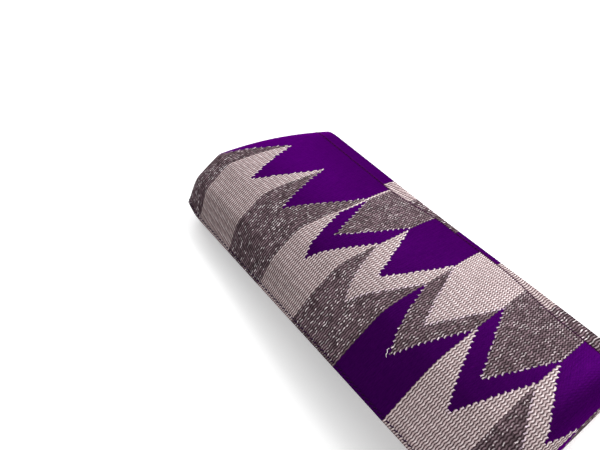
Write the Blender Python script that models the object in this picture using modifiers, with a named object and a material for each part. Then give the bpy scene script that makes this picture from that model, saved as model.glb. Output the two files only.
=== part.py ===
"""Folded kente cloth: two woven strips sewn edge to edge into one long cloth.

The cloth is doubled lengthwise just beyond the seam, then folded over and over
along its length into a flat bundle, so its layers run round the bundle like the
turns of a flattened roll.

Units are metres. X runs across the strips, from the hemmed side to the doubled
side. Y runs along them, from the near fold to the far fold. Z is up from the
surface that the bundle lies on, which is z = 0.
"""
import math

import bmesh
import bpy
from mathutils import Vector

NAME = "folded_kente_cloth"

# The whole bundle
LENGTH = 0.2915
WIDTH = 0.1086
HEIGHT = 0.040
CENTRING = 0.0004

# The cloth
SHEET = 0.0011
HEM_SHEET = 0.0016
HEM_WIDTH = 0.005
PIECE_GAP = 0.0003
INNER_STRIP_RECESS = 0.0145

# How far the doubled edge lies beyond the seam: least in the middle, more towards both ends
SEAM_TO_FOLD = 0.0034
SEAM_TO_FOLD_FAR = 0.0082
SEAM_TO_FOLD_NEAR = 0.0073
SEAM_FAR_TURN_Y = 0.014
SEAM_FAR_TURN_LENGTH = 0.045
SEAM_NEAR_TURN_Y = -0.083
SEAM_NEAR_TURN_LENGTH = 0.050

# The winding, from the outer end under the bundle to the inner end in its core
TURNS = 3
TURN_PITCH = 0.00625
OUTER_END_Y = -0.060
INNER_END_Y = -0.078
STEP_DOWN_LENGTH = 0.036
INNER_HEM_RECESS = 0.0025
FAR_HEM_RECESS = 0.003
FAR_HEM_RECESS_LENGTH = 0.025
STEP_DOWN_REST = 0.004
RIPPLE = 0.0009
RIPPLE_WAVES = 3.3
RIPPLE_REACH = 0.015

# The crown: the ridge, and how far the top falls from it towards each side
RIDGE_X = -0.0132
LEFT_FALL = 0.0075
LEFT_FALL_POWER = 1.2
RIGHT_FALL_NEAR = 0.0110
RIGHT_FALL_FAR = 0.0210
RIGHT_FALL_POWER = 2.3
RIGHT_FALL_GROWTH = 1.6

# The round shoulder that the far end has on its hem side
SHOULDER_FALL = 0.0160
SHOULDER_START = 0.32
SHOULDER_LENGTH = 0.62
SHOULDER_INSIDE = 0.48
SHOULDER_WIDTH = 0.58

# The far right corner, which is drawn back towards the near end
DRAWN_BACK = 0.039
DRAWN_BACK_START_Y = 0.044
DRAWN_BACK_EARLY_SHARE = 0.2
DRAWN_BACK_EARLY_Y = -0.079
DRAWN_BACK_EARLY_LENGTH = 0.076

# Steps of the sheets' grids
STRAIGHT_STEP = 0.026
STEP_DOWN_STEPS = 3
HALF_TURN_LEAST_STEPS = 5
HALF_TURN_STEP_RADIUS = 0.004
HEM_COLUMNS = 2
SHOULDER_COLUMN = 0.0095
MAIN_COLUMNS = 9
FOLD_COLUMNS = 4

# How far aside the way across is measured
ACROSS_STEP = 0.001

HALF_LENGTH = LENGTH / 2
HALF_WIDTH = WIDTH / 2
LAYER = (SHEET + PIECE_GAP) / 2
HALF_BAND = LAYER + SHEET / 2

PURPLE = (0.083, 0.003, 0.130, 1.0)
PALE = (0.480, 0.370, 0.350, 1.0)


def clear_scene():
    for item in list(bpy.data.objects):
        bpy.data.objects.remove(item, do_unlink=True)


def make_collection(name):
    group = bpy.data.collections.new(name)
    bpy.context.scene.collection.children.link(group)
    return group


def make_material(name, colour):
    material = bpy.data.materials.new(name)
    material.use_nodes = True
    shader = material.node_tree.nodes["Principled BSDF"]
    shader.inputs["Base Color"].default_value = colour
    shader.inputs["Roughness"].default_value = 0.8
    shader.inputs["Metallic"].default_value = 0.0
    return material


def smooth(share):
    """Eases from 0 to 1 as share goes from 0 to 1."""
    share = min(max(share, 0.0), 1.0)
    return share * share * (3.0 - 2.0 * share)


def mix(low, high, share):
    return low + (high - low) * share


def sides_of_ridge(x):
    """How far x lies to the left and to the right of the ridge, each 1 at its own edge."""
    left = max((RIDGE_X - x) / (RIDGE_X + HALF_WIDTH), 0.0)
    right = max((x - RIDGE_X) / (HALF_WIDTH - RIDGE_X), 0.0)
    return left, right


def top_fall(x, y):
    """How far the bundle's top lies below its ridge."""
    left, right = sides_of_ridge(x)
    along = (y + HALF_LENGTH) / LENGTH
    shoulder = smooth((along - SHOULDER_START) / SHOULDER_LENGTH)
    fall = LEFT_FALL * left ** LEFT_FALL_POWER
    fall += SHOULDER_FALL * shoulder * smooth((left - SHOULDER_INSIDE) / SHOULDER_WIDTH)
    fall += mix(RIGHT_FALL_NEAR, RIGHT_FALL_FAR, smooth(along * RIGHT_FALL_GROWTH)) * right ** RIGHT_FALL_POWER
    return fall


def drawn_back(x, y):
    """How far a point is shifted towards the near end."""
    right = sides_of_ridge(x)[1]
    early = smooth((y - DRAWN_BACK_EARLY_Y) / DRAWN_BACK_EARLY_LENGTH)
    late = smooth((y - DRAWN_BACK_START_Y) / (HALF_LENGTH - DRAWN_BACK_START_Y))
    share = DRAWN_BACK_EARLY_SHARE * early + (1.0 - DRAWN_BACK_EARLY_SHARE) * late
    return DRAWN_BACK * right * share


def settle(x, y, z, ripple=0.0):
    """Moves a point of the evenly wound bundle to where the settled bundle has it.

    The hem's far corner tilts outwards, so the whole is shifted a little to stay centred.
    """
    squeeze = 1.0 - top_fall(x, y) / (HEIGHT - HALF_BAND)
    towards_hem = smooth((RIDGE_X + RIPPLE_REACH - x) / HALF_WIDTH)
    height = HALF_BAND + (z - HALF_BAND) * squeeze + ripple * towards_hem * squeeze ** 2
    return Vector((x + CENTRING, y - drawn_back(x, y), height))


def cross_lines():
    """The y of each station on the straight passes, the same for every pass."""
    lines = [OUTER_END_Y - STEP_DOWN_LENGTH * step / STEP_DOWN_STEPS
             for step in range(STEP_DOWN_STEPS + 1)]
    count = int(HALF_LENGTH / STRAIGHT_STEP)
    for line in range(-count, count + 1):
        y = line * STRAIGHT_STEP
        if min(abs(y - other) for other in lines) > STRAIGHT_STEP / 4:
            lines.append(y)
    return sorted(lines)


def straight(y_from, y_to, level, wave=0.0):
    """Stations of one pass along the bundle; level gives the height at each y."""
    low, high = sorted((y_from, y_to))
    room = STRAIGHT_STEP / 5
    lines = [y for y in cross_lines() if low + room < y < high - room]
    lines = sorted([low, high] + lines, reverse=y_to < y_from)
    stations = []
    for y in lines:
        share = (y - y_from) / (y_to - y_from)
        ripple = wave * math.sin(share * math.pi) * math.sin(share * math.pi * RIPPLE_WAVES)
        stations.append((y, level(y), ripple))
    return stations


def half_turn(end_y, z_from, z_to):
    """Stations of one round fold, whose outermost point is at end_y."""
    radius = abs(z_to - z_from) / 2
    side = math.copysign(1.0, end_y)
    rise = math.copysign(1.0, z_to - z_from)
    centre_y = end_y - side * radius
    centre_z = (z_from + z_to) / 2
    steps = HALF_TURN_LEAST_STEPS + round(radius / HALF_TURN_STEP_RADIUS)
    stations = []
    for step in range(1, steps):
        angle = math.pi * step / steps
        y = centre_y + side * radius * math.sin(angle)
        z = centre_z - rise * radius * math.cos(angle)
        stations.append((y, z, 0.0))
    return centre_y, stations


def wound_path():
    """Stations of the doubled cloth's middle line, from its outer end to its inner end.

    Each station holds y, z, the ripple and how far in the winding it lies, from 0
    for the outermost turn to 1 for the innermost.
    """
    def step_up(y):
        return smooth((y - (OUTER_END_Y - STEP_DOWN_LENGTH)) / (STEP_DOWN_LENGTH - STEP_DOWN_REST))

    def floor_level(turn):
        return lambda y: HALF_BAND + TURN_PITCH * (turn - 1 + step_up(y))

    floor = [lambda y: HALF_BAND] + [floor_level(turn) for turn in range(1, TURNS + 1)]
    top = [HEIGHT - HALF_BAND - TURN_PITCH * turn for turn in range(TURNS)]
    stations = []
    y = OUTER_END_Y
    for turn in range(TURNS):
        inset = HALF_BAND + TURN_PITCH * turn
        wave = RIPPLE * (turn > 0)
        far_y, far_fold = half_turn(HALF_LENGTH - inset, floor[turn](HALF_LENGTH), top[turn])
        near_y, near_fold = half_turn(inset - HALF_LENGTH, top[turn], floor[turn + 1](-HALF_LENGTH))
        run = straight(y, far_y, floor[turn], wave)
        run += far_fold
        run += straight(far_y, near_y, lambda _y, level=top[turn]: level, -wave)
        run += near_fold
        stations += [station + (turn / TURNS,) for station in run]
        y = near_y
    stations += [station + (1.0,) for station in straight(y, INNER_END_Y, floor[TURNS])]
    return stations


def seam_to_fold(y):
    """How far the doubled edge lies beyond the seam."""
    far = smooth((y - SEAM_FAR_TURN_Y) / SEAM_FAR_TURN_LENGTH + 0.5)
    near = smooth((SEAM_NEAR_TURN_Y - y) / SEAM_NEAR_TURN_LENGTH + 0.5)
    return SEAM_TO_FOLD + (SEAM_TO_FOLD_FAR - SEAM_TO_FOLD) * far + (SEAM_TO_FOLD_NEAR - SEAM_TO_FOLD) * near


def frame_at(path, index, x):
    """The place, the way outwards and the way across at one station and x."""
    def place_at(station, at_x):
        y, z, ripple, _depth = path[station]
        return settle(at_x, y, z, ripple)

    place = place_at(index, x)
    before = place_at(max(index - 1, 0), x)
    after = place_at(min(index + 1, len(path) - 1), x)
    along = (after - before).normalized()
    across = (place_at(index, x + ACROSS_STEP) - place).normalized()
    return place, along.cross(across).normalized(), across


def column_lines(y, depth):
    """The x of each column of the outer strip, from its hem to the seam."""
    far = smooth((y - HALF_LENGTH) / FAR_HEM_RECESS_LENGTH + 1.0)
    hem_x = -HALF_WIDTH + INNER_HEM_RECESS * smooth(depth) + FAR_HEM_RECESS * far
    first_x = hem_x + INNER_STRIP_RECESS
    seam_x = HALF_WIDTH - seam_to_fold(y) - PIECE_GAP / 2
    main = [mix(first_x, seam_x, step / MAIN_COLUMNS) for step in range(MAIN_COLUMNS + 1)]
    return [hem_x, hem_x + HEM_WIDTH, hem_x + SHOULDER_COLUMN] + main


def outer_strip_rows(path):
    """Rows of points for the strip that faces out, from its hem to the seam."""
    rows = []
    for index, (y, _z, _ripple, depth) in enumerate(path):
        row = []
        for column, x in enumerate(column_lines(y, depth)):
            place, outwards, _across = frame_at(path, index, x)
            # the hem is thicker on its inner face alone
            inset = (HEM_SHEET - SHEET) / 2 if column < HEM_COLUMNS else 0.0
            row.append(place + outwards * (LAYER - inset))
        rows.append(row)
    return rows


def inner_strip_rows(path):
    """Rows of points for the strip that lies inside, from the seam round the doubled edge."""
    fold_x = HALF_WIDTH - HALF_BAND
    rows = []
    for index, (y, _z, _ripple, depth) in enumerate(path):
        columns = column_lines(y, depth)
        place, outwards, _across = frame_at(path, index, columns[-1] + PIECE_GAP)
        row = [place + outwards * LAYER]
        place, outwards, across = frame_at(path, index, fold_x)
        for step in range(FOLD_COLUMNS + 1):
            angle = math.pi * step / FOLD_COLUMNS
            row.append(place + outwards * LAYER * math.cos(angle) + across * LAYER * math.sin(angle))
        for x in reversed(columns[-MAIN_COLUMNS - 1:]):
            place, outwards, _across = frame_at(path, index, x)
            row.append(place - outwards * LAYER)
        rows.append(row)
    return rows


def sheet_object(name, rows, material, group, hem_columns=0):
    """An open grid through the rows, made solid on both sides of itself.

    The two strips' columns run opposite ways where they lie together, so their faces
    are split the opposite way as well, which keeps the strips apart all over.
    """
    mesh = bpy.data.meshes.new(name)
    grid = bmesh.new()
    points = [[grid.verts.new(point) for point in row] for row in rows]
    for here, there in zip(points, points[1:]):
        for column in range(len(here) - 1):
            corners = [here[column], here[column + 1], there[column + 1], there[column]]
            if hem_columns:
                corners = corners[1:] + corners[:1]
            grid.faces.new((corners[0], corners[1], corners[2])).smooth = True
            grid.faces.new((corners[0], corners[2], corners[3])).smooth = True
    grid.normal_update()
    grid.to_mesh(mesh)
    grid.free()
    mesh.materials.append(material)

    sheet = bpy.data.objects.new(name, mesh)
    group.objects.link(sheet)
    hem = sheet.vertex_groups.new(name="hem")
    columns = len(rows[0])
    hem.add([i for i in range(len(mesh.vertices)) if i % columns < hem_columns], 1.0, "REPLACE")

    solid = sheet.modifiers.new("sheet_thickness", "SOLIDIFY")
    solid.thickness = HEM_SHEET if hem_columns else SHEET
    solid.offset = 0.0
    solid.use_even_offset = True
    if hem_columns:
        solid.vertex_group = hem.name
        solid.thickness_vertex_group = SHEET / HEM_SHEET
    return sheet


def main():
    clear_scene()
    group = make_collection(NAME)
    path = wound_path()
    purple = make_material("purple_weave", PURPLE)
    pale = make_material("pale_weave", PALE)
    sheet_object("outer_strip", outer_strip_rows(path), pale, group, hem_columns=HEM_COLUMNS)
    sheet_object("inner_strip", inner_strip_rows(path), purple, group)


main()
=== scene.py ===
"""Looks of the folded kente cloth: its two woven strips and their sewing.

Each strip is one thin closed sheet laid along the same winding as its solid, with
finer steps, and carries its own cloth coordinates: u across the strip from its left
edge, v along it. The weave's rows, beads and zigzag blocks are drawn from those
coordinates, so the pattern follows the cloth round every fold.

Units are metres. X runs across the strips, Y along them and Z up.
"""

import math
from collections import namedtuple
from types import SimpleNamespace

import bmesh
import bpy
import numpy as np
from mathutils import Matrix, Vector


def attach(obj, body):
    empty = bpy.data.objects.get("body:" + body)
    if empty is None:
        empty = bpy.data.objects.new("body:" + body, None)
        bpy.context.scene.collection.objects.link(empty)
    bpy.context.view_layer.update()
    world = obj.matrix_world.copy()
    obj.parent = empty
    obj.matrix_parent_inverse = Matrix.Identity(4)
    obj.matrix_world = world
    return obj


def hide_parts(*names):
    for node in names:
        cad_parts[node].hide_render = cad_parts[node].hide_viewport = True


# The whole bundle
LENGTH = 0.2915
WIDTH = 0.1086
HEIGHT = 0.040
CENTRING = 0.0004

# The cloth
SHEET = 0.0011
HEM_SHEET = 0.0016
HEM_WIDTH = 0.005
HEM_EASE = 0.0012
PIECE_GAP = 0.0003
INNER_STRIP_RECESS = 0.0145

# How far the doubled edge lies beyond the seam: least in the middle, more towards both ends
SEAM_TO_FOLD = 0.0034
SEAM_TO_FOLD_FAR = 0.0082
SEAM_TO_FOLD_NEAR = 0.0073
SEAM_FAR_TURN_Y = 0.014
SEAM_FAR_TURN_LENGTH = 0.045
SEAM_NEAR_TURN_Y = -0.083
SEAM_NEAR_TURN_LENGTH = 0.050

# The winding, from the outer end under the bundle to the inner end in its core
TURNS = 3
TURN_PITCH = 0.00625
OUTER_END_Y = -0.060
INNER_END_Y = -0.078
STEP_DOWN_LENGTH = 0.036
STEP_DOWN_REST = 0.004
INNER_HEM_RECESS = 0.0025
FAR_HEM_RECESS = 0.003
FAR_HEM_RECESS_LENGTH = 0.025
RIPPLE = 0.0009
RIPPLE_WAVES = 3.3
RIPPLE_REACH = 0.015

# The crown: the ridge, and how far the top falls from it towards each side
RIDGE_X = -0.0132
LEFT_FALL = 0.0075
LEFT_FALL_POWER = 1.2
RIGHT_FALL_NEAR = 0.0110
RIGHT_FALL_FAR = 0.0210
RIGHT_FALL_POWER = 2.3
RIGHT_FALL_GROWTH = 1.6

# The round shoulder that the far end has on its hem side
SHOULDER_FALL = 0.0160
SHOULDER_START = 0.32
SHOULDER_LENGTH = 0.62
SHOULDER_INSIDE = 0.48
SHOULDER_WIDTH = 0.58

# The far right corner, which is drawn back towards the near end
DRAWN_BACK = 0.039
DRAWN_BACK_START_Y = 0.044
DRAWN_BACK_EARLY_SHARE = 0.2
DRAWN_BACK_EARLY_Y = -0.079
DRAWN_BACK_EARLY_LENGTH = 0.076

# Steps of the sheets' grids: stations along the winding, then columns across a strip.
# The columns near the hem are measured from the left edge, those near the seam from it.
STRAIGHT_STEP = 0.005
HALF_TURN_LEAST_STEPS = 9
HALF_TURN_STEP_RADIUS = 0.0012
NEAR_HEM_COLUMNS = (0.0008, 0.0013, 0.0017, 0.0021, 0.0025, 0.0029, 0.0036, 0.0048, 0.0062)
NEAR_SEAM_COLUMNS = (0.0040, 0.0028, 0.0018, 0.0011, 0.00055)
MAIN_COLUMNS = 36
MAIN_CLEAR_OF_HEM = 0.002
MAIN_CLEAR_OF_SEAM = 0.001
SHOWN_COLUMNS = 5
FOLD_COLUMNS = 8
EDGE_STEPS = 6
EDGE_SQUARENESS = 0.5
ACROSS_STEP = 0.001

# What follows from these: each layer's middle lies LAYER from the doubled cloth's middle,
# and only the outermost turn rises above TOP_LEVEL
HALF_LENGTH = LENGTH / 2
HALF_WIDTH = WIDTH / 2
LAYER = (SHEET + PIECE_GAP) / 2
HALF_BAND = LAYER + SHEET / 2
TOP_LEVEL = HEIGHT * 0.9

# The hem's stitches run along the hem, in a shallow groove
STITCH_LINE = 0.0021
STITCH_GROOVE = 0.00016
STITCH_GROOVE_WIDTH = 0.0005
HEM_STITCH = 0.0024
HEM_STITCH_SPACING = 0.0033
HEM_STITCH_SLANT = 0.0004
HEM_STITCH_POINTS = (-1.0, -0.6, 0.0, 0.6, 1.0)
HEM_THREAD = 0.00036

# The seam's stitches run aslant from one strip to the other
SEAM_GAP = 0.0001
SEAM_DIP = 0.00008
SEAM_DIP_WIDTH = 0.0009
SEAM_STITCH = 0.0024
SEAM_REACH = 0.0007
SEAM_THREAD = 0.00018

# The loose end of pale yarn: where it starts, across from the hem and along, and its bends
LOOSE_THREAD = 0.00022
LOOSE_TIP = (0.0290, -0.0542)
LOOSE_BENDS = (
    (0.0, 0.0), (-0.0013, 0.0003), (-0.0023, -0.0009), (-0.0036, -0.0011), (-0.0046, -0.0024))

# All threads: their sides, their tapered ends, how far their middle stays above the floor,
# a direction that none of them follows, and their look
THREAD_SIDES = 6
THREAD_END = 0.93
THREAD_TAPER_POWER = 4
THREAD_CLEAR = 0.0004
THREAD_GUIDE = (0.31, 0.42, 0.85)
THREAD_GRAIN_SCALE = 1500.0
THREAD_SHADE = 0.55
THREAD_RELIEF = 0.0002
THREAD_ROUGHNESS = 0.7

# The weave: a weft row's pitch and how far rows swing between beads, left and right. The
# change from left to right lies between the LEFT_TO_RIGHT places. Beads grow shorter
# towards the right edge: from each place to the next lie so many beads. The steps in a
# block's slopes are half a bead wide and lean along the slope by BEAD_SLANT.
CLOTH_MAP = "cloth"
ROW = 0.00158
ROW_SWING = (0.25, 0.38)
LEFT_TO_RIGHT = (0.030, 0.070)
ROW_DRIFT = 0.8
BEAD_PLACES = (0.0, 0.026, 0.078, 0.088, 0.104)
BEADS_BETWEEN = (6.67, 17.05, 4.08, 7.8)
HALF_BEAD = 0.0016
BEAD_SLANT = 0.22
CREST_POWER = 0.7

# Broad soft patches, the fibres of the weft and the streaks of the purple ground
PATCH_SCALE = 45.0
PATCH_TONE = (0.9, 1.1)
FIBRE_SCALE = 2200.0
FIBRE_STRETCH = 0.3
FIBRE_TONE = 0.2
STREAK_SCALE = 1500.0
STREAK_STRETCH = 0.12
STREAKS = (0.15, 0.85)

# Rows run a little askew: how far they lag at the right edge, at places along the cloth
LAG_PLACES = (-0.120, -0.080, -0.038, 0.003, 0.038, 0.082, 0.121)
LAGS = (0.0, 0.0022, 0.0040, 0.0052, 0.0076, 0.0047, 0.0010)
LAG_START = 0.036
LAG_WIDTH = 0.044

# The lines between the zigzag blocks of each strip, as places along the cloth, and which of
# the chart's blocks follow one another between them: the first and how many
STRIP = 0.104
OUTER_LINES = (-0.1495, -0.1196, -0.0780, -0.0362, 0.0052, 0.0423, 0.0828, 0.1214, 0.1600)
INNER_LINES = (-0.1350, -0.0950, -0.0523, -0.0120, 0.0273, 0.0485, 0.1500)
OUTER_BLOCKS = (0, 9)
INNER_BLOCKS = (1, 3)

# A block has three yarns side by side, with two boundaries between them, outer and inner.
# A boundary runs from its near tip in to a notch and out to its far tip, all given as
# places across the strip; its last number is how far up the block the notch lies. pale_line
# is 1 where a thin pale line runs along the block's far edge, LINE_SHARE of the block wide.
# RIGHT_EDGE is a boundary with nothing beyond it. Each yarn has a number, and numbers less
# than YARN_MARGIN apart mean the same yarn.
YARNS = {"purple": 0.0, "pale": 0.5, "grey": 1.0}
YARN_MARGIN = 0.1
LINE_SHARE = 0.04
RIGHT_EDGE = (STRIP, STRIP, STRIP, 0.5)
Block = namedtuple("Block", "left middle right outer inner pale_line", defaults=(RIGHT_EDGE, 0.0))
CHART = (
    Block("grey", "pale", "purple", (0.048, 0.030, 0.068, 0.27), (0.067, 0.050, 0.084, 0.26)),
    Block("pale", "purple", "grey", (0.068, 0.0265, 0.068, 0.48), (0.084, 0.050, 0.087, 0.473)),
    Block("purple", "grey", "pale", (0.068, 0.026, 0.069, 0.52), (0.087, 0.051, 0.088, 0.495)),
    Block("grey", "pale", "purple", (0.069, 0.030, 0.068, 0.52), (0.088, 0.053, 0.088, 0.50)),
    Block("pale", "purple", "grey", (0.068, 0.031, 0.070, 0.52), (0.088, 0.0535, 0.0865, 0.56), 1.0),
    Block("grey", "purple", "purple", (0.086, 0.044, 0.081, 0.54)),
    Block("pale", "purple", "purple", (0.081, 0.043, 0.080, 0.433)),
    Block("grey", "purple", "purple", (0.080, 0.038, 0.081, 0.40)),
    Block("purple", "grey", "pale", (0.068, 0.028, 0.068, 0.52), (0.088, 0.052, 0.087, 0.52)),
)

# Colours
PURPLE_DARK = (0.026, 0.0005, 0.054, 1.0)
PURPLE_LIGHT = (0.042, 0.0009, 0.074, 1.0)
# The darkest pale is painted shade at the edges of the pale rows
PALE_ROW_EDGE_SHADE = (0.21, 0.145, 0.148, 1.0)
PALE = (0.43, 0.330, 0.332, 1.0)
# The lightest pale is the painted highlight of the pale beads, and also the loose pale yarn's own colour
PALE_HIGHLIGHT_AND_THREAD = (0.92, 0.83, 0.83, 1.0)
GREY_DARK = (0.040, 0.027, 0.030, 1.0)
GREY_LIGHT = (0.205, 0.141, 0.162, 1.0)
# The colour of the painted glints on the metal thread
PAINTED_GLINT = (0.78, 0.72, 0.72, 1.0)
# The colour of the painted highlights on the loops at the blocks' boundaries
LOOP_HIGHLIGHT = (0.74, 0.60, 0.70, 1.0)
WARP = (0.018, 0.006, 0.010, 1.0)
DARK_THREAD = (0.022, 0.004, 0.030, 1.0)
SEAM_COLOUR = (0.085, 0.010, 0.075, 1.0)
FLOOR_COLOUR = (0.95, 0.95, 0.95, 1.0)
SATIN_TINT = (0.80, 0.10, 1.0, 1.0)

# Shine: the purple ground is satin, the pale and grey yarns are dull
SPECULAR = 0.0
SATIN = 0.75
SATIN_ROUGHNESS = 0.50
YARN_ROUGHNESS = 0.75

# Where the colours lie in the weave. Here pairs of heights, widths and shares are the ends
# of a soft step, and pairs of tones are the least and the most of a random draw.

# The pale beads: painted highlights in cups where the rows dip, weaker at the left of the strip
CUP_HIGHLIGHT_PLACE = 0.42
CUP_HIGHLIGHT_LEFT = 0.6
CUP_HIGHLIGHT_HEIGHT = (0.05, 0.36)
CUP_HIGHLIGHT_TONE = (0.5, 1.0)

# The grey beads: lighter arcs along the middle of each row, and painted glints of the metal thread in
# short runs, where it is also partly metallic
ARC_HEIGHT = (0.14, 0.36)
ARC_IN_DIP = 0.8
ARC_TONE = (0.4, 1.0)
GLINT_HEIGHT = (0.06, 0.24)
GLINT_SHARE = (0.58, 0.92)
GLINT_RIGHT = 0.55
GLINT_RUN = 2.0
GLINT_RUN_SHARE = 0.30
GLINT_METAL = 0.5
SPECKS_PER_BEAD = 3.5

# Painted highlights on the loops where the weft turns back at a block's boundary
LOOP_HIGHLIGHT_WIDTH = (0.0006, 0.0016)
LOOP_HIGHLIGHT_HEIGHT = (0.10, 0.36)
LOOP_HIGHLIGHT_SHARE = 0.5

# The dark warp in the furrows between the rows, which narrow to the right. On a crest it
# shows less at the right of the strip than at the left. Thick is the pale and grey yarn,
# fine the purple. Dips take painted shade, and grains differ in brightness, by these shares.
FURROW = (0.15, 0.33)
FURROW_NARROWS = 0.03
WARP_ON_CREST = (1.0, 0.62)
WARP_ON_TWILL = 0.45
WARP_FINE = 0.06
WARP_GREY = 0.6
DIP_SHADE_THICK = 0.03
DIP_SHADE_FINE = 0.04
PALE_GRAIN = 0.13
GREY_GRAIN = 0.34

# Relief of the rows
BEAD_RELIEF = 0.0005
RELIEF_THICK = 0.4
RELIEF_FINE = 0.12
RELIEF_IN_DIP = 0.85
FIBRE_RELIEF = 0.15

# Seeds of the random draws
TONE_SEED = 0.0
SPECK_SEED = 1.0
RUN_SEED = 2.0
GRAIN_SEED = 4.0
SHIFT_SEED = 5.0

# The floor
FLOOR_SIZE = 12.0
FLOOR_DROP = 0.0001
FLOOR_GLOW = 0.25
FLOOR_ROUGHNESS = 0.6

# Light. The sky is brightest on the bright side and dimmest facing it. Each lamp has a
# name, a place, a size and a power.
BRIGHT_SIDE = (0.85, -0.10, 0.35)
SKY_COLOUR = (1.0, 1.0, 1.0, 1.0)
SKY_DIM = 0.28
SKY_BRIGHT = 0.85
LAMPS = (
    ("key", (0.85, -0.25, 0.60), 0.9, 13.5),
    ("back", (0.50, 0.85, 0.55), 0.7, 7.0),
)

# The camera
CAMERA_PLACE = (-0.0514, -0.20355, 0.3916)
CAMERA_RIGHT = (0.7344, -0.5925, -0.3311)
CAMERA_UP = (0.672, 0.5663, 0.4772)
CAMERA_BACK = (-0.0953, -0.573, 0.814)
CAMERA_LENS = 42.0
CAMERA_SENSOR = 36.0
CAMERA_NEAREST = 0.01


def smooth(share):
    """Eases from 0 to 1 as share goes from 0 to 1."""
    share = np.clip(share, 0.0, 1.0)
    return share * share * (3.0 - 2.0 * share)


def mix(low, high, share):
    return low + (high - low) * share


def bell(distance, width):
    """1 at no distance, fading to 0 over a few widths."""
    return np.exp(-(distance / width) ** 2)


def sides_of_ridge(x):
    """How far x lies to the left and to the right of the ridge, each 1 at its own edge."""
    left = np.maximum((RIDGE_X - x) / (RIDGE_X + HALF_WIDTH), 0.0)
    right = np.maximum((x - RIDGE_X) / (HALF_WIDTH - RIDGE_X), 0.0)
    return left, right


def top_fall(x, y):
    """How far the bundle's top lies below its ridge."""
    left, right = sides_of_ridge(x)
    along = (y + HALF_LENGTH) / LENGTH
    shoulder = smooth((along - SHOULDER_START) / SHOULDER_LENGTH)
    fall = LEFT_FALL * left ** LEFT_FALL_POWER
    fall = fall + SHOULDER_FALL * shoulder * smooth((left - SHOULDER_INSIDE) / SHOULDER_WIDTH)
    right_fall = mix(RIGHT_FALL_NEAR, RIGHT_FALL_FAR, smooth(along * RIGHT_FALL_GROWTH))
    return fall + right_fall * right ** RIGHT_FALL_POWER


def drawn_back(x, y):
    """How far a point is shifted towards the near end."""
    right = sides_of_ridge(x)[1]
    early = smooth((y - DRAWN_BACK_EARLY_Y) / DRAWN_BACK_EARLY_LENGTH)
    late = smooth((y - DRAWN_BACK_START_Y) / (HALF_LENGTH - DRAWN_BACK_START_Y))
    share = DRAWN_BACK_EARLY_SHARE * early + (1.0 - DRAWN_BACK_EARLY_SHARE) * late
    return DRAWN_BACK * right * share


def settle(x, y, z, ripple):
    """Moves points of the evenly wound bundle to where the settled bundle has them."""
    squeeze = 1.0 - top_fall(x, y) / (HEIGHT - HALF_BAND)
    towards_hem = smooth((RIDGE_X + RIPPLE_REACH - x) / HALF_WIDTH)
    height = HALF_BAND + (z - HALF_BAND) * squeeze + ripple * towards_hem * squeeze ** 2
    return np.stack([x + CENTRING, y - drawn_back(x, y), height], axis=-1)


def straight(y_from, y_to, level, wave=0.0):
    """Stations of one pass along the bundle; level gives the height at each y."""
    steps = max(2, round(abs(y_to - y_from) / STRAIGHT_STEP))
    stations = []
    for step in range(steps + 1):
        share = step / steps
        y = mix(y_from, y_to, share)
        ripple = wave * math.sin(share * math.pi) * math.sin(share * math.pi * RIPPLE_WAVES)
        stations.append((y, level(y), ripple))
    return stations


def half_turn(end_y, z_from, z_to):
    """The centre's y and the stations of one round fold, whose outermost point is at end_y."""
    radius = abs(z_to - z_from) / 2
    side = math.copysign(1.0, end_y)
    rise = math.copysign(1.0, z_to - z_from)
    centre_y = end_y - side * radius
    centre_z = (z_from + z_to) / 2
    steps = HALF_TURN_LEAST_STEPS + round(radius / HALF_TURN_STEP_RADIUS)
    stations = []
    for step in range(1, steps):
        angle = math.pi * step / steps
        y = centre_y + side * radius * math.sin(angle)
        z = centre_z - rise * radius * math.cos(angle)
        stations.append((y, z, 0.0))
    return centre_y, stations


def wound_path():
    """Stations of the doubled cloth's middle line, from its outer end to its inner end.

    Returns arrays of y, z, the ripple and how far in the winding each station lies,
    from 0 for the outermost turn to 1 for the innermost.
    """
    def step_up(y):
        return float(smooth((y - (OUTER_END_Y - STEP_DOWN_LENGTH)) / (STEP_DOWN_LENGTH - STEP_DOWN_REST)))

    def floor_level(turn):
        return lambda y: HALF_BAND + TURN_PITCH * (turn - 1 + step_up(y))

    floor = [lambda y: HALF_BAND] + [floor_level(turn) for turn in range(1, TURNS + 1)]
    top = [HEIGHT - HALF_BAND - TURN_PITCH * turn for turn in range(TURNS)]
    stations = []
    y = OUTER_END_Y
    for turn in range(TURNS):
        inset = HALF_BAND + TURN_PITCH * turn
        wave = RIPPLE * (turn > 0)
        far_y, far_fold = half_turn(HALF_LENGTH - inset, floor[turn](HALF_LENGTH), top[turn])
        near_y, near_fold = half_turn(inset - HALF_LENGTH, top[turn], floor[turn + 1](-HALF_LENGTH))
        run = straight(y, far_y, floor[turn], wave)
        run += far_fold
        run += straight(far_y, near_y, lambda _y, level=top[turn]: level, -wave)
        run += near_fold
        stations += [station + (turn / TURNS,) for station in run]
        y = near_y
    stations += [station + (1.0,) for station in straight(y, INNER_END_Y, floor[TURNS])]
    return np.array(stations).T


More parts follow.
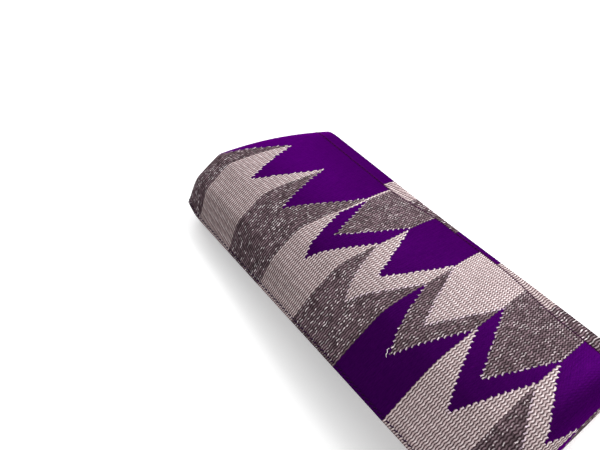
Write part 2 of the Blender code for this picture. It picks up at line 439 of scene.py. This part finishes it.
class Winding:
    """The settled winding, asked for places at any station and any x."""

    def __init__(self):
        self.y, self.z, self.ripple, self.depth = wound_path()
        self.count = len(self.y)
        middle = self.place(np.full((self.count, 1), RIDGE_X))[:, 0]
        steps = np.linalg.norm(np.diff(middle, axis=0), axis=1)
        self.along = np.concatenate([[0.0], np.cumsum(steps)])

    def place(self, x):
        """Places for an array of x with one row for each station."""
        return settle(x, self.y[:, None], self.z[:, None], self.ripple[:, None])

    def frames(self, x):
        """Places, ways outwards and ways across for an array of x."""
        place = self.place(x)
        along = np.gradient(place, axis=0)
        across = self.place(x + ACROSS_STEP) - place
        outwards = np.cross(along, across)
        outwards /= np.linalg.norm(outwards, axis=-1, keepdims=True)
        across /= np.linalg.norm(across, axis=-1, keepdims=True)
        return place, outwards, across

    def hem_x(self):
        far = smooth((self.y - HALF_LENGTH) / FAR_HEM_RECESS_LENGTH + 1.0)
        return -HALF_WIDTH + INNER_HEM_RECESS * smooth(self.depth) + FAR_HEM_RECESS * far

    def seam_x(self):
        far = smooth((self.y - SEAM_FAR_TURN_Y) / SEAM_FAR_TURN_LENGTH + 0.5)
        near = smooth((SEAM_NEAR_TURN_Y - self.y) / SEAM_NEAR_TURN_LENGTH + 0.5)
        to_fold = SEAM_TO_FOLD + (SEAM_TO_FOLD_FAR - SEAM_TO_FOLD) * far
        return HALF_WIDTH - to_fold - (SEAM_TO_FOLD_NEAR - SEAM_TO_FOLD) * near

    def top_start(self):
        """Index of the station on the outermost top pass that is nearest to y = 0."""
        on_top = (self.depth == 0.0) & (self.z > TOP_LEVEL)
        return int(np.argmin(np.where(on_top, np.abs(self.y), 1.0)))

    def cloth_v(self, x):
        """The cloth coordinate along the strips, equal to y on the top pass but for the rows' lag."""
        start = self.top_start()
        v = self.along[start] + self.y[start] - self.along
        lag = np.interp(v, LAG_PLACES, LAGS)
        return v[:, None] + lag[:, None] * smooth((x + HALF_WIDTH - LAG_START) / LAG_WIDTH)

    def sheet_frames(self, x, turn):
        """Middle of a sheet, its normal and its way ahead; turn is the angle round the doubled edge."""
        place, outwards, across = self.frames(x)
        cosine = np.cos(turn)[..., None]
        sine = np.sin(turn)[..., None]
        normal = outwards * cosine + across * sine
        ahead = across * cosine - outwards * sine
        return place + normal * LAYER, normal, ahead


def tube_object(name, points, material, cloth=None):
    """One mesh of closed tubes. points is (tube, ring, place in the ring, 3).

    cloth holds each point's two cloth coordinates, where it has them.
    """
    index = np.arange(points[..., 0].size).reshape(points.shape[:-1])
    after = np.roll(index, -1, axis=2)
    sides = np.stack([index[:, :-1], index[:, 1:], after[:, 1:], after[:, :-1]], axis=-1)
    faces = sides.reshape(-1, 4).tolist() + index[:, 0].tolist() + index[:, -1, ::-1].tolist()
    mesh = bpy.data.meshes.new(name)
    mesh.from_pydata([tuple(point) for point in points.reshape(-1, 3)], [], faces)
    mesh.polygons.foreach_set("use_smooth", [True] * len(mesh.polygons))
    if cloth is not None:
        corners = np.empty(len(mesh.loops), dtype=np.int32)
        mesh.loops.foreach_get("vertex_index", corners)
        layer = mesh.uv_layers.new(name=CLOTH_MAP)
        layer.data.foreach_set("uv", cloth.reshape(-1, 2)[corners].astype(np.float32).ravel())
    tidy = bmesh.new()
    tidy.from_mesh(mesh)
    bmesh.ops.recalc_face_normals(tidy, faces=tidy.faces)
    tidy.to_mesh(mesh)
    tidy.free()
    mesh.materials.append(material)
    item = bpy.data.objects.new(name, mesh)
    bpy.context.scene.collection.objects.link(item)
    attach(item, "root")
    return item


def round_edge(columns, middle, normal, ahead, end, side):
    """Points and cloth coordinates u round one edge of a sheet, between its two faces.

    end is the edge's column. side is 1 from the front face to the back, -1 the other way.
    """
    front = columns.front[:, end]
    back = columns.back[:, end]
    thick = (front + back) / 2
    centre = middle[:, end] + normal[:, end] * ((front - back) / 2)[:, None]
    points = []
    across = []
    for step in range(1, EDGE_STEPS):
        angle = math.pi * step / EDGE_STEPS
        rise = math.copysign(abs(math.cos(angle)) ** EDGE_SQUARENESS, math.cos(angle)) * side
        out = math.sin(angle) ** EDGE_SQUARENESS * side
        points.append(centre + (normal[:, end] * rise + ahead[:, end] * out) * thick[:, None])
        across.append(columns.u[:, end] + out * thick)
    return np.stack(points, axis=1), np.stack(across, axis=1)


def closed_sheet(name, winding, columns, material):
    """A thin closed sheet with round edges.

    columns holds arrays with a row for each station and a column for each line along
    the strip: x, turn (the angle round the doubled edge), u (across the cloth), front
    and back (how far each face lies from the sheet's middle).
    """
    middle, normal, ahead = winding.sheet_frames(columns.x, columns.turn)
    front = middle + normal * columns.front[..., None]
    back = middle - normal * columns.back[..., None]
    right, right_u = round_edge(columns, middle, normal, ahead, -1, 1.0)
    left, left_u = round_edge(columns, middle, normal, ahead, 0, -1.0)
    points = np.concatenate([front, right, back[:, ::-1], left], axis=1)
    u = np.concatenate([columns.u, right_u, columns.u[:, ::-1], left_u], axis=1)
    v = winding.cloth_v(columns.x)
    right_v = np.repeat(v[:, -1:], EDGE_STEPS - 1, axis=1)
    left_v = np.repeat(v[:, :1], EDGE_STEPS - 1, axis=1)
    v = np.concatenate([v, right_v, v[:, ::-1], left_v], axis=1)
    return tube_object(name, points[None], material, np.stack([u, v], axis=-1))


def outer_columns(winding):
    """Columns of the outer strip, from its hem to the seam."""
    hem = winding.hem_x()[:, None]
    width = winding.seam_x()[:, None] - SEAM_GAP / 2 - hem
    near_hem = np.array(NEAR_HEM_COLUMNS)
    near_seam = np.array(NEAR_SEAM_COLUMNS)
    share = np.linspace(0.0, 1.0, MAIN_COLUMNS)
    main_end = width - near_seam[0] - MAIN_CLEAR_OF_SEAM
    main_columns = mix(near_hem[-1] + MAIN_CLEAR_OF_HEM, main_end, share[None, :])
    u = np.concatenate([np.tile(near_hem, (winding.count, 1)), main_columns, width - near_seam], axis=1)
    in_hem = 1.0 - smooth((u - HEM_WIDTH + HEM_EASE / 2) / HEM_EASE)
    back = SHEET / 2 + (HEM_SHEET - SHEET) * in_hem
    front = SHEET / 2 - STITCH_GROOVE * bell(u - STITCH_LINE, STITCH_GROOVE_WIDTH)
    front = front - SEAM_DIP * bell(width - u, SEAM_DIP_WIDTH)
    return SimpleNamespace(x=hem + u, turn=np.zeros_like(u), u=u, front=front, back=back)


def inner_columns(winding):
    """Columns of the inner strip, from the seam round the doubled edge and back underneath."""
    seam = winding.seam_x()[:, None] + SEAM_GAP / 2
    fold_x = HALF_WIDTH - HALF_BAND
    shown = mix(seam + SHEET / 2, fold_x, np.linspace(0.0, 1.0, SHOWN_COLUMNS)[None, :])
    bend = np.tile(np.linspace(0.0, math.pi, FOLD_COLUMNS + 1)[1:-1], (winding.count, 1))
    under_end = winding.hem_x()[:, None] + INNER_STRIP_RECESS
    under = mix(fold_x, under_end, np.linspace(0.0, 1.0, MAIN_COLUMNS)[None, :])
    x = np.concatenate([shown, np.full_like(bend, fold_x), under], axis=1)
    turn = np.concatenate([np.zeros_like(shown), bend, np.full_like(under, math.pi)], axis=1)
    fold_u = fold_x - seam
    under_u = fold_u + LAYER * math.pi + fold_x - under
    u = np.concatenate([shown - seam, fold_u + LAYER * bend, under_u], axis=1)
    front = SHEET / 2 - SEAM_DIP * bell(u, SEAM_DIP_WIDTH)
    return SimpleNamespace(x=x, turn=turn, u=u, front=front, back=np.full_like(x, SHEET / 2))


def thread_object(name, paths, radius, material):
    """Round threads along many short paths, joined as one mesh. paths is (count, points, 3)."""
    along = np.gradient(paths, axis=1)
    along /= np.linalg.norm(along, axis=-1, keepdims=True)
    side = np.cross(along, np.broadcast_to(np.array(THREAD_GUIDE), along.shape))
    side /= np.linalg.norm(side, axis=-1, keepdims=True)
    up = np.cross(side, along)
    towards_end = np.linspace(-THREAD_END, THREAD_END, paths.shape[1])
    thick = radius * np.sqrt(1.0 - towards_end ** THREAD_TAPER_POWER)[None, :, None]
    rings = []
    for corner in range(THREAD_SIDES):
        angle = 2 * math.pi * corner / THREAD_SIDES
        rings.append(paths + (side * math.cos(angle) + up * math.sin(angle)) * thick)
    return tube_object(name, np.stack(rings, axis=2), material)


def stitch_paths(winding, x, height, spacing, points):
    """Stitches along the winding at x: one short path each spacing.

    height is how far above the cloth's middle they lie, and points holds (ahead, aside)
    pairs for the points of one stitch.
    """
    place, outwards, across = winding.frames(x[:, None])
    line = place[:, 0] + outwards[:, 0] * height
    across = across[:, 0]
    lengths = np.concatenate([[0.0], np.cumsum(np.linalg.norm(np.diff(line, axis=0), axis=1))])
    starts = np.arange(spacing, lengths[-1] - spacing, spacing)
    paths = []
    for ahead, aside in points:
        at = starts + ahead
        centre = np.stack([np.interp(at, lengths, line[:, axis]) for axis in range(3)], axis=-1)
        sideways = np.stack([np.interp(at, lengths, across[:, axis]) for axis in range(3)], axis=-1)
        paths.append(centre + sideways * aside)
    paths = np.stack(paths, axis=1)
    paths[..., 2] = np.maximum(paths[..., 2], THREAD_CLEAR)
    return paths


def loose_path(winding):
    """A short wavy path over the top pass, from LOOSE_TIP."""
    start = winding.top_start()
    points = []
    for across, along in LOOSE_BENDS:
        x = winding.hem_x()[start] + LOOSE_TIP[0] + across
        place = settle(x, LOOSE_TIP[1] + along, winding.z[start], 0.0)
        points.append(place + (0.0, 0.0, LAYER + SHEET / 2 + LOOSE_THREAD))
    return np.array([points])


class Wiring:
    """Short calls that add and join shader nodes."""

    def __init__(self, name):
        self.material = bpy.data.materials.new(name)
        self.material.use_nodes = True
        self.tree = self.material.node_tree
        self.shader = self.tree.nodes["Principled BSDF"]

    def node(self, kind, **settings):
        node = self.tree.nodes.new(kind)
        for name, value in settings.items():
            setattr(node, name, value)
        return node

    def join(self, value, socket):
        if isinstance(value, bpy.types.NodeSocket):
            self.tree.links.new(value, socket)
        else:
            socket.default_value = value

    def surface(self, values):
        """Sets or links inputs of the shader, given by name."""
        for name, value in values.items():
            self.join(value, self.shader.inputs[name])

    def math(self, operation, *values):
        node = self.node("ShaderNodeMath", operation=operation)
        for value, socket in zip(values, node.inputs):
            self.join(value, socket)
        return node.outputs[0]

    def times(self, first, *others):
        """The product of all the values."""
        for other in others:
            first = self.math("MULTIPLY", first, other)
        return first

    def minus(self, value, other):
        return self.math("SUBTRACT", value, other)

    def wave(self, angle):
        """A cosine wave brought between 0 and 1."""
        return self.math("MULTIPLY_ADD", self.math("COSINE", angle), 0.5, 0.5)

    def step(self, value, low, high):
        """Eases from 0 at low to 1 at high."""
        node = self.node("ShaderNodeMapRange", interpolation_type="SMOOTHSTEP")
        self.join(value, node.inputs["Value"])
        node.inputs["From Min"].default_value = low
        node.inputs["From Max"].default_value = high
        return node.outputs["Result"]

    def fade(self, value, low, high):
        """Eases from 1 at low to 0 at high."""
        return self.minus(1.0, self.step(value, low, high))

    def mix(self, share, low, high):
        return self.math("MULTIPLY_ADD", share, self.minus(high, low), low)

    def blend(self, share, low, high, blend_type="MIX"):
        """Mixes two colours."""
        node = self.node("ShaderNodeMix", data_type="RGBA", blend_type=blend_type)
        self.join(share, node.inputs["Factor"])
        self.join(low, node.inputs["A"])
        self.join(high, node.inputs["B"])
        return node.outputs["Result"]

    def chart(self, position, rows):
        """Looks a row of three numbers from 0 to 1 up by its place in rows."""
        node = self.node("ShaderNodeValToRGB")
        ramp = node.color_ramp
        ramp.interpolation = "CONSTANT"
        while len(ramp.elements) < len(rows):
            ramp.elements.new(1.0)
        for index, row in enumerate(rows):
            ramp.elements[index].position = index / len(rows)
            ramp.elements[index].color = tuple(row) + (1.0,)
        self.join(position, node.inputs["Fac"])
        parts = self.node("ShaderNodeSeparateColor")
        self.join(node.outputs["Color"], parts.inputs["Color"])
        return parts.outputs[:3]

    def counted(self, value, places, counts):
        """Counts along value, with the given count at each of the places and even between."""
        first, last, total = places[0], places[-1], counts[-1]
        node = self.node("ShaderNodeValToRGB")
        ramp = node.color_ramp
        while len(ramp.elements) < len(places):
            ramp.elements.new(1.0)
        for place, count, element in zip(places, counts, ramp.elements):
            element.position = (place - first) / (last - first)
            element.color = (count / total,) * 3 + (1.0,)
        self.join(self.math("DIVIDE", self.minus(value, first), last - first), node.inputs["Fac"])
        below = self.math("MINIMUM", self.minus(value, first), 0.0)
        above = self.math("MAXIMUM", self.minus(value, last), 0.0)
        outside = self.times(self.math("ADD", below, above), total / (last - first))
        return self.math("MULTIPLY_ADD", node.outputs["Color"], float(total), outside)

    def vector(self, *values):
        node = self.node("ShaderNodeCombineXYZ")
        for value, socket in zip(values, node.inputs):
            self.join(value, socket)
        return node.outputs["Vector"]

    def noise(self, vector, scale):
        node = self.node("ShaderNodeTexNoise")
        self.join(vector, node.inputs["Vector"])
        node.inputs["Scale"].default_value = scale
        return node.outputs["Fac"]

    def random(self, *values):
        """An even random number from 0 to 1 for each set of whole numbers."""
        node = self.node("ShaderNodeTexWhiteNoise", noise_dimensions="3D")
        self.join(self.vector(*values), node.inputs["Vector"])
        return node.outputs["Value"]

    def bump(self, height, distance, strength=1.0):
        node = self.node("ShaderNodeBump")
        node.inputs["Distance"].default_value = distance
        self.join(height, node.inputs["Height"])
        self.join(strength, node.inputs["Strength"])
        return node.outputs["Normal"]


def weave_grid(w):
    """Where a point lies in the weave: its row, its bead and how high it is in both.

    Rows rise and dip together, with one crest for each bead.
    """
    parts = w.node("ShaderNodeSeparateXYZ")
    w.join(w.node("ShaderNodeUVMap", uv_map=CLOTH_MAP).outputs["UV"], parts.inputs["Vector"])
    u = parts.outputs["X"]
    v = parts.outputs["Y"]
    patch = w.noise(w.vector(u, v, 0.0), PATCH_SCALE)
    beads = w.counted(u, BEAD_PLACES, [sum(BEADS_BETWEEN[:end]) for end in range(len(BEAD_PLACES))])
    crest = w.math("POWER", w.wave(w.times(beads, 2 * math.pi)), CREST_POWER)
    to_right = w.step(u, *LEFT_TO_RIGHT)
    rows = w.minus(w.math("DIVIDE", v, ROW), w.times(crest, w.mix(to_right, *ROW_SWING)))
    rows = w.math("MULTIPLY_ADD", patch, ROW_DRIFT, rows)
    row = w.math("FLOOR", rows)
    up_row = w.math("FRACT", rows)
    in_row = w.math("ABSOLUTE", w.minus(up_row, 0.5))
    return SimpleNamespace(
        u=u, v=v, patch=patch, beads=beads, crest=crest, dip=w.minus(1.0, crest), to_right=to_right,
        row=row, up_row=up_row, in_row=in_row, half_beads=w.times(beads, 2.0),
        round_row=w.minus(1.0, w.math("POWER", w.times(in_row, 2.0), 2.0)))


def zigzag(w, share, places, notch_share):
    """Where a boundary lies across the strip, at a share of the way up its block."""
    near_tip, notch, far_tip = places
    upper = w.math("DIVIDE", w.minus(share, notch_share), w.minus(1.0, notch_share))
    lower = w.minus(1.0, w.math("DIVIDE", share, notch_share))
    upper = w.times(w.math("MAXIMUM", upper, 0.0), w.minus(far_tip, notch))
    lower = w.times(w.math("MAXIMUM", lower, 0.0), w.minus(near_tip, notch))
    return w.times(w.math("ADD", notch, w.math("ADD", upper, lower)), STRIP)


def block_yarns(w, grid, lines, blocks):
    """Which yarn a point shows, and how far it lies from the nearest boundary.

    The chart is read once for each half bead, so that its slopes come out in steps.
    """
    first, count = blocks
    into_bead = w.minus(w.math("FRACT", grid.half_beads), 0.5)
    bead_u = w.math("MULTIPLY_ADD", into_bead, -HALF_BEAD * (1.0 - BEAD_SLANT), grid.u)
    block = w.counted(w.times(w.math("ADD", grid.row, 0.5), ROW), lines, range(len(lines)))
    number = w.minus(w.math("FLOOR", block), float(first))
    number = w.math("ADD", w.math("FLOORED_MODULO", number, float(count)), first + 0.5)
    share = w.math("FRACT", block)
    place = w.math("DIVIDE", number, float(len(CHART)))
    yarns = [[YARNS[yarn] for yarn in (row.left, row.middle, row.right)] for row in CHART]
    left, middle, right = w.chart(place, yarns)
    outer_places = w.chart(place, [[part / STRIP for part in row.outer[:3]] for row in CHART])
    inner_places = w.chart(place, [[part / STRIP for part in row.inner[:3]] for row in CHART])
    shares = w.chart(place, [(row.outer[3], row.inner[3], row.pale_line) for row in CHART])
    outer_share, inner_share, pale_line = shares

    from_outer = w.minus(bead_u, zigzag(w, share, outer_places, outer_share))
    from_inner = w.minus(bead_u, zigzag(w, share, inner_places, inner_share))
    is_left = w.math("LESS_THAN", from_outer, 0.0)
    is_right = w.math("GREATER_THAN", from_inner, 0.0)
    is_line = w.times(pale_line, w.math("GREATER_THAN", share, 1.0 - LINE_SHARE))
    yarn = w.mix(is_right, w.mix(is_left, middle, left), right)
    yarn = w.mix(is_line, yarn, YARNS["pale"])
    is_pale = w.math("COMPARE", yarn, YARNS["pale"], YARN_MARGIN)
    is_grey = w.math("COMPARE", yarn, YARNS["grey"], YARN_MARGIN)
    return SimpleNamespace(
        is_pale=is_pale, is_grey=is_grey, thick=w.math("MAXIMUM", is_pale, is_grey),
        from_edge=w.math("MINIMUM", w.math("ABSOLUTE", from_outer), w.math("ABSOLUTE", from_inner)))


def purple_colour(w, grid):
    streak = w.noise(w.vector(w.times(grid.u, STREAK_STRETCH), grid.v, 0.0), STREAK_SCALE)
    return w.blend(w.step(streak, *STREAKS), PURPLE_DARK, PURPLE_LIGHT)


def pale_colour(w, grid, tone):
    # Each pale row is painted darker towards its edges as shade on its round, and lighter in painted
    # highlights where the rows dip
    cup_highlight = w.fade(w.math("ABSOLUTE", w.minus(grid.up_row, CUP_HIGHLIGHT_PLACE)), *CUP_HIGHLIGHT_HEIGHT)
    cup_highlight = w.times(cup_highlight, grid.dip, w.mix(tone, *CUP_HIGHLIGHT_TONE), w.mix(grid.to_right, CUP_HIGHLIGHT_LEFT, 1.0))
    return w.blend(cup_highlight, w.blend(grid.round_row, PALE_ROW_EDGE_SHADE, PALE), PALE_HIGHLIGHT_AND_THREAD)


def painted_metal_glint(w, grid):
    """How much painted glint the metal thread shows: in specks, which come in runs. Rows differ at
    random.
    """
    shift = w.random(0.0, grid.row, SHIFT_SEED)
    specks = w.math("MULTIPLY_ADD", grid.beads, SPECKS_PER_BEAD, shift)
    speck = w.random(w.math("FLOOR", specks), grid.row, SPECK_SEED)
    runs = w.math("ADD", w.math("DIVIDE", grid.beads, GLINT_RUN), shift)
    run = w.random(w.math("FLOOR", runs), grid.row, RUN_SEED)
    lit = w.math("MULTIPLY_ADD", run, GLINT_RUN_SHARE, w.times(speck, 1.0 - GLINT_RUN_SHARE))
    painted_glint = w.times(w.fade(grid.in_row, *GLINT_HEIGHT), w.step(lit, *GLINT_SHARE))
    return w.times(painted_glint, w.mix(grid.to_right, 1.0, GLINT_RIGHT))


def grey_colour(w, grid, tone, painted_glint):
    arc = w.times(w.fade(grid.in_row, *ARC_HEIGHT), w.mix(grid.crest, ARC_IN_DIP, 1.0))
    grey = w.blend(w.times(arc, w.mix(tone, *ARC_TONE)), GREY_DARK, GREY_LIGHT)
    # The metal thread's glints are painted in a light colour
    return w.blend(painted_glint, grey, PAINTED_GLINT)


def yarn_colour(w, grid, yarns, painted_glint):
    """The weft's colour. Each bead has its own tone, and painted highlights show on the loops at the
    boundaries.
    """
    tone = w.random(w.math("FLOOR", grid.beads), grid.row, TONE_SEED)
    colour = w.blend(yarns.is_pale, purple_colour(w, grid), pale_colour(w, grid, tone))
    colour = w.blend(yarns.is_grey, colour, grey_colour(w, grid, tone, painted_glint))
    loop_highlight = w.times(w.fade(yarns.from_edge, *LOOP_HIGHLIGHT_WIDTH), w.fade(grid.in_row, *LOOP_HIGHLIGHT_HEIGHT))
    return w.blend(w.times(loop_highlight, yarns.thick, LOOP_HIGHLIGHT_SHARE), colour, LOOP_HIGHLIGHT)


def warp_share(w, grid, yarns):
    """How far the dark warp shows between the rows, most of all in their dips."""
    twill = w.math("MULTIPLY_ADD", grid.beads, 4 * math.pi, w.times(grid.row, math.pi))
    furrow = w.math("MULTIPLY_ADD", grid.to_right, -FURROW_NARROWS, grid.in_row)
    return w.times(
        w.step(furrow, *FURROW),
        w.mix(grid.dip, w.mix(grid.to_right, *WARP_ON_CREST), 1.0),
        w.mix(w.wave(twill), 1.0, WARP_ON_TWILL),
        w.mix(yarns.thick, WARP_FINE, 1.0),
        w.mix(yarns.is_grey, 1.0, WARP_GREY))


def shading(w, grid, yarns, fibre):
    """Small differences in brightness: painted shade in the dips, and tone along fibres, from grain to
    grain and in patches.
    """
    draw = w.random(w.math("FLOOR", grid.half_beads), grid.row, GRAIN_SEED)
    grain = w.times(yarns.thick, w.mix(yarns.is_grey, PALE_GRAIN, GREY_GRAIN))
    return w.times(
        w.minus(1.0, w.times(grid.dip, w.mix(yarns.thick, DIP_SHADE_FINE, DIP_SHADE_THICK))),
        w.mix(fibre, 1.0 - FIBRE_TONE, 1.0 + FIBRE_TONE),
        w.math("MULTIPLY_ADD", grain, w.mix(draw, -1.0, 1.0), 1.0),
        w.mix(grid.patch, *PATCH_TONE))


def woven_material(name, lines, blocks):
    """Weft-faced weave with three yarns laid out in zigzag blocks between the lines."""
    w = Wiring(name)
    grid = weave_grid(w)
    yarns = block_yarns(w, grid, lines, blocks)
    painted_glint = painted_metal_glint(w, grid)
    fibre = w.noise(w.vector(w.times(grid.u, FIBRE_STRETCH), grid.v, 0.0), FIBRE_SCALE)
    colour = w.blend(warp_share(w, grid, yarns), yarn_colour(w, grid, yarns, painted_glint), WARP)
    shade = shading(w, grid, yarns, fibre)
    relief = w.times(grid.round_row, w.mix(grid.crest, RELIEF_IN_DIP, 1.0))
    relief = w.math("MULTIPLY_ADD", fibre, FIBRE_RELIEF, relief)
    metal = w.times(painted_glint, yarns.is_grey, GLINT_METAL)
    w.surface({
        "Base Color": w.blend(1.0, colour, w.vector(shade, shade, shade), "MULTIPLY"),
        "Metallic": w.math("ADD", metal, w.mix(yarns.thick, SATIN, 0.0)),
        "Roughness": w.mix(yarns.thick, SATIN_ROUGHNESS, YARN_ROUGHNESS),
        "Normal": w.bump(relief, BEAD_RELIEF, w.mix(yarns.thick, RELIEF_FINE, RELIEF_THICK)),
        "Specular Tint": SATIN_TINT,
        "Specular IOR Level": SPECULAR,
    })
    return w.material


def thread_material(name, colour):
    w = Wiring(name)
    grain = w.noise(w.node("ShaderNodeTexCoord").outputs["Object"], THREAD_GRAIN_SCALE)
    dark = tuple(part * THREAD_SHADE for part in colour[:3]) + (1.0,)
    w.surface({
        "Base Color": w.blend(grain, dark, colour),
        "Roughness": THREAD_ROUGHNESS,
        "Normal": w.bump(grain, THREAD_RELIEF),
        "Specular IOR Level": SPECULAR,
    })
    return w.material


def floor_material():
    w = Wiring("floor")
    w.surface({
        "Base Color": FLOOR_COLOUR,
        "Roughness": FLOOR_ROUGHNESS,
        "Specular IOR Level": SPECULAR,
        "Emission Color": FLOOR_COLOUR,
        "Emission Strength": FLOOR_GLOW,
    })
    return w.material


def add_strips(winding, nodes):
    """The two strips, each in place of its solid in nodes."""
    outer_weave = woven_material("outer_weave", OUTER_LINES, OUTER_BLOCKS)
    inner_weave = woven_material("inner_weave", INNER_LINES, INNER_BLOCKS)
    outer = closed_sheet("outer_cloth", winding, outer_columns(winding), outer_weave)
    inner = closed_sheet("inner_cloth", winding, inner_columns(winding), inner_weave)
    for node in nodes:
        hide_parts(node)
    return outer, inner


def add_sewing(winding):
    """The hem's stitches, the seam's stitches and the loose end."""
    face = LAYER + SHEET / 2
    half = HEM_STITCH / 2
    bow = [(half * share, HEM_STITCH_SLANT * share) for share in HEM_STITCH_POINTS]
    hem_paths = stitch_paths(winding, winding.hem_x() + STITCH_LINE, face, HEM_STITCH_SPACING, bow)
    cross = [(-SEAM_STITCH / 2, -SEAM_REACH), (0.0, 0.0), (SEAM_STITCH / 2, SEAM_REACH)]
    seam_paths = stitch_paths(winding, winding.seam_x(), face - SEAM_DIP / 2, SEAM_STITCH, cross)
    sewing = (
        ("hem_stitches", hem_paths, HEM_THREAD, "dark_thread", DARK_THREAD),
        ("seam_stitches", seam_paths, SEAM_THREAD, "seam_thread", SEAM_COLOUR),
        ("loose_thread", loose_path(winding), LOOSE_THREAD, "pale_thread", PALE_HIGHLIGHT_AND_THREAD),
    )
    items = []
    for name, paths, radius, material, colour in sewing:
        item = thread_object(name, paths, radius, thread_material(material, colour))
        items.append(item)
    return items


def add_floor():
    mesh = bpy.data.meshes.new("floor")
    half = FLOOR_SIZE / 2
    corners = [(-half, -half, 0.0), (half, -half, 0.0), (half, half, 0.0), (-half, half, 0.0)]
    mesh.from_pydata(corners, [], [(0, 1, 2, 3)])
    mesh.materials.append(floor_material())
    floor = bpy.data.objects.new("floor", mesh)
    floor.location.z = -FLOOR_DROP
    bpy.context.scene.collection.objects.link(floor)


def add_sky():
    """A white sky, brightest on the bright side and dimmest on the other."""
    world = bpy.data.worlds.new("studio")
    bpy.context.scene.world = world
    world.use_nodes = True
    tree = world.node_tree
    background = tree.nodes["Background"]
    background.inputs["Color"].default_value = SKY_COLOUR
    way = tree.nodes.new("ShaderNodeTexCoord").outputs["Generated"]
    side = tree.nodes.new("ShaderNodeVectorMath")
    side.operation = "DOT_PRODUCT"
    side.inputs[1].default_value = Vector(BRIGHT_SIDE).normalized()
    strength = tree.nodes.new("ShaderNodeMapRange")
    strength.inputs["From Min"].default_value = -1.0
    strength.inputs["To Min"].default_value = SKY_DIM
    strength.inputs["To Max"].default_value = SKY_BRIGHT
    tree.links.new(way, side.inputs[0])
    tree.links.new(side.outputs["Value"], strength.inputs["Value"])
    tree.links.new(strength.outputs["Result"], background.inputs["Strength"])
    bpy.context.scene.view_settings.view_transform = "Standard"


def add_lamps():
    for name, place, size, power in LAMPS:
        light = bpy.data.lights.new(name, "AREA")
        light.shape = "SQUARE"
        light.size = size
        light.energy = power
        item = bpy.data.objects.new(name, light)
        item.location = place
        item.rotation_mode = "QUATERNION"
        item.rotation_quaternion = (-Vector(place)).to_track_quat("-Z", "Y")
        bpy.context.scene.collection.objects.link(item)


def add_camera():
    data = bpy.data.cameras.new("camera")
    data.sensor_width = CAMERA_SENSOR
    data.lens = CAMERA_LENS
    data.clip_start = CAMERA_NEAREST
    camera = bpy.data.objects.new("camera", data)
    turn = Matrix((CAMERA_RIGHT, CAMERA_UP, CAMERA_BACK)).transposed()
    camera.matrix_world = Matrix.Translation(CAMERA_PLACE) @ turn.to_4x4()
    bpy.context.scene.collection.objects.link(camera)
    bpy.context.scene.camera = camera


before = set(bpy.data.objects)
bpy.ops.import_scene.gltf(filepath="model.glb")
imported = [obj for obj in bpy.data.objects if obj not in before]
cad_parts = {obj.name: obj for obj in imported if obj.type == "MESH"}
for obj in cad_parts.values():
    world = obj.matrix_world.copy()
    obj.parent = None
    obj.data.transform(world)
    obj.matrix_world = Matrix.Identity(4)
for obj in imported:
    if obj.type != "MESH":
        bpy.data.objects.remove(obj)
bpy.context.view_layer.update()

cloth_winding = Winding()
outer_cloth, inner_cloth = add_strips(cloth_winding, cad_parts)
threads = add_sewing(cloth_winding)
add_floor()
add_sky()
add_lamps()
add_camera()
